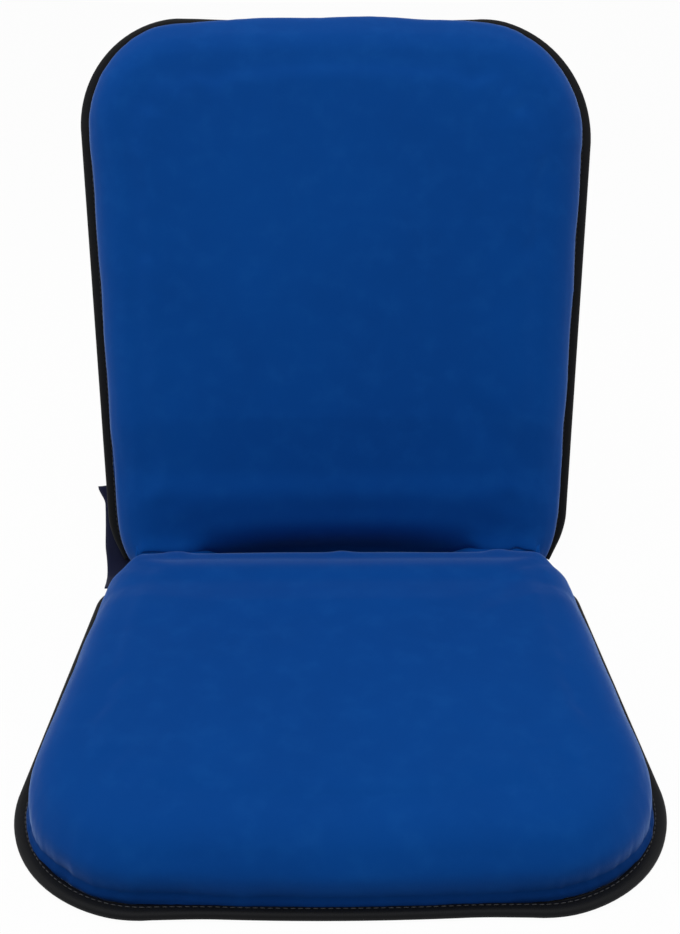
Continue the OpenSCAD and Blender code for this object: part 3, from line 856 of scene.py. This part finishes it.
gusset_outline = [off_axis(0.0320, 0.0054), off_axis(0.0104, 0.0144), off_axis_back(0.0320, 0.0054),
                  off_axis_back(0.0320, -0.008), off_axis_back(0.0320, -0.023), off_axis_back(0.0, -0.0275),
                  off_axis(-0.0165, -0.0225), off_axis(0.0, -0.0275), off_axis(0.0320, -0.0225),
                  off_axis(0.0320, -0.008), off_axis(0.0320, 0.0054)]


def gusset_place(side):
    """The cloth that closes the hinge's end, from the middle out to its edge."""
    def put(around, out):
        spans = len(gusset_outline) - 1
        k = min(int(around * spans), spans - 1)
        u, v = mix(gusset_outline[k], gusset_outline[k + 1], around * spans - k) * out
        full = 0.0009 * (1 - out ** 6)
        return Vector((side * (hinge_cover_x - 0.0012 + full), hinge_axis.y - u, hinge_axis.z + v))
    return put


bm = sheet_grid(180, 36, crease_place)
for side in (-1, 1):
    gusset = sheet_grid(40, 6, gusset_place(side))
    bmesh.ops.remove_doubles(gusset, verts=gusset.verts, dist=1e-6)
    scrap = bpy.data.meshes.new("gusset")
    gusset.to_mesh(scrap)
    gusset.free()
    bm.from_mesh(scrap)
    bpy.data.meshes.remove(scrap)
crease_area = cloth_area(bm)
bmesh.ops.recalc_face_normals(bm, faces=bm.faces)
crease = finished("hinge_crease_cloth", bm, crease_blue)
thicken(crease)
crease_area / (2 * hinge_cover_x)
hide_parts("crease_cloth")
bend_at_hinge(crease)


# The flap: its two ends, its width laid flat, its heights up the back, and the bend round the hinge
flap_left = -0.2125
flap_right = 0.190
flap_width = 0.408
flap_height = 0.078
loose_height = 0.057
flap_tuck = 0.006
flap_bend = 0.0318
flap_low_r = 0.0291
flap_high_r = 0.0309


def flap_place(across, down):
    """From under the seat round behind the hinge and up the rear of the back, one top corner loose."""
    loose = 1 - ease(across / 0.14)
    up = mix(flap_height, loose_height, loose)
    round_length = lean * flap_bend
    run = down * (flap_tuck + round_length + up)
    t = max(0.0, min(1.0, (run - flap_tuck) / round_length))
    r = mix(flap_low_r, flap_high_r, t) + 0.002 * math.sin(math.pi * t)
    angle = mix(math.radians(270), rest_angle + math.pi / 2, t)
    over = max(0.0, run - flap_tuck - round_length)
    rise = over / up
    edge = 1 - ease(across / 0.06)
    tip = 0.0058 * ease((rise - 0.72) / 0.28) - 0.001 * math.sin(math.pi * rise)
    x = mix(flap_left, flap_right, across) + edge * (0.0038 * (1 - ease(down / 0.55)) - tip)
    out = 0.0012 + 0.0016 * abs(ripple(across * 9, down * 2, 3.1)) + loose * 0.006 * rise * rise
    out *= ease(run / 0.02)
    u = r * math.cos(angle) + max(0.0, flap_tuck - run)
    u += over * math.cos(rest_angle) - out * math.sin(rest_angle)
    v = r * math.sin(angle) + over * math.sin(rest_angle) + out * math.cos(rest_angle)
    return Vector((x, hinge_axis.y - u, max(hinge_axis.z + v, 0.0004)))


bm = sheet_grid(120, 40, flap_place)
flap_area = cloth_area(bm)
bmesh.ops.recalc_face_normals(bm, faces=bm.faces)
flap = finished("rear_flap_cloth", bm, flap_navy)
thicken(flap)
flap_area / flap_width
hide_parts("rear_flap")
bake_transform(flap)


# Cloth panels under the seat and behind the back

def panel_cloth(name, body, node, place, reach, finish, tube_x, tube_far, seed):
    """A flat panel that follows the tube frame behind it, with slack between the tubes."""
    bm = bmesh.new()
    bm.from_mesh(cad_nodes[node].data)
    bmesh.ops.remove_doubles(bm, verts=bm.verts, dist=1e-5)
    bmesh.ops.dissolve_limit(bm, angle_limit=math.radians(1), verts=bm.verts, edges=bm.edges)
    backwards = Vector((0, 1, 0)) if body == "seat" else place(0, 1, 0) - place(0, 0, 0)
    first = place(0, reach if body == "seat" else 0, 0)
    cut = 0.009
    for direction, start, count in ((Vector((1, 0, 0)), Vector((-0.216, 0, 0)), 48),
                                    (backwards, first, int(reach / cut))):
        for i in range(count):
            geom = list(bm.verts) + list(bm.edges) + list(bm.faces)
            bmesh.ops.bisect_plane(bm, geom=geom, plane_co=start + direction * cut * i,
                                   plane_no=direction, dist=1e-6)
    for vert in bm.verts:
        x, u, w = panel_place(node, vert.co)
        frame_near = min(abs(abs(x) - tube_x), abs(u - tube_far) if abs(x) < tube_x else 1)
        inside = ease((cover_near_x - 0.006 - abs(x)) / 0.02) * ease((u - near_edge) / 0.02)
        inside *= ease((reach - binding_width - 0.006 - u) / 0.02)
        sag = 0.0007 * ease((frame_near - 0.009) / 0.03) + 0.0004 * ripple(x / 0.05, u / 0.05, seed)
        vert.co = place(x, u, w + max(0.0, sag) * inside)
    piece = finished(name, bm, finish)
    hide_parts(node)
    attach(piece, body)


panel_cloth("seat_underside_cloth", "seat", "seat_base_panel", on_seat, seat_reach, grip_black,
            tube_x=0.1785, tube_far=0.3535, seed=1.1)
panel_cloth("back_rear_cloth", "back", "back_rear_panel", on_back, back_reach, rear_navy,
            tube_x=0.1739, tube_far=0.4355, seed=5.1)


# Finishes of the CAD pieces that stay

cad_finishes = {
    "tube": tube_black, "foam": foam_cream, "webbing": strap_black, "pawl_spring": spring_steel,
    "pawl_pin": zinc, "spring_post": zinc, "hinge_pin": zinc, "rivets": zinc, "plate": zinc,
    "ratchet_arm": hardened, "release_cam": hardened, "pawl": hardened,
}


def finish_for(node):
    for word, finish in cad_finishes.items():
        if word in node:
            return finish
    return seat_blue


for node, piece in cad_nodes.items():
    piece.data.materials.clear()
    piece.data.materials.append(finish_for(node))


# Floor, daylight and lamps

def seen_directly(nodes):
    """1 for what the camera, a glossy or a clear surface sees, 0 for the light that falls on things."""
    camera, glossy, clear = (nodes.add("ShaderNodeLightPath", out=out)
                             for out in ("Is Camera Ray", "Is Glossy Ray", "Is Transmission Ray"))
    return (camera + glossy + clear).math("MINIMUM", 1.0)


def lay_floor():
    """A pale floor that shows as white, with a trace of the shadow."""
    bm = bmesh.new()
    bmesh.ops.create_grid(bm, x_segments=1, y_segments=1, size=30)
    for vert in bm.verts:
        vert.co.z = -0.0006
    pale = Finish("floor_white", {"Base Color": (0.7, 0.7, 0.7, 1), "Roughness": 0.9,
                                  "Specular IOR Level": 0.1})
    glow = pale.add("ShaderNodeEmission", {}, {"Color": (1, 1, 1, 1), "Strength": 1.0})
    share = seen_directly(pale) * 0.97
    mixed = pale.add("ShaderNodeMixShader", {}, {0: share, 1: Wire(pale, pale.shader.outputs[0]), 2: glow})
    pale.feed(pale.tree.nodes["Material Output"].inputs["Surface"], mixed)
    floor = finished("studio_floor", bm, pale.material, smooth=False)


def light_world():
    """Soft grey daylight on the chair, and white behind it."""
    world = bpy.data.worlds.new("studio")
    bpy.context.scene.world = world
    world.use_nodes = True
    sky = Nodes(world.node_tree)
    soft, white = (sky.add("ShaderNodeBackground", {}, {"Color": (1, 1, 1, 1), "Strength": strength})
                   for strength in (0.33, 1.0))
    either = sky.add("ShaderNodeMixShader", {}, {0: seen_directly(sky), 1: soft, 2: white})
    sky.feed(sky.tree.nodes["World Output"].inputs["Surface"], either)


def hang_lamp(name, place, aim, size, watts):
    data = bpy.data.lights.new(name, "AREA")
    data.size = size
    data.energy = watts
    lamp = bpy.data.objects.new(name, data)
    lamp.location = place
    lamp.rotation_euler = (Vector(aim) - Vector(place)).to_track_quat("-Z", "Y").to_euler()
    bpy.context.scene.collection.objects.link(lamp)


lay_floor()
light_world()
hang_lamp("overhead_box", (-0.2, -0.35, 2.0), (0, 0.05, 0.1), 1.6, 27)
hang_lamp("left_box", (-1.5, 0.1, 0.3), (0, 0.1, 0.2), 1.0, 5)
hang_lamp("right_box", (1.5, 0.1, 0.3), (0, 0.1, 0.2), 1.0, 5)

bpy.context.scene.view_settings.view_transform = "Standard"
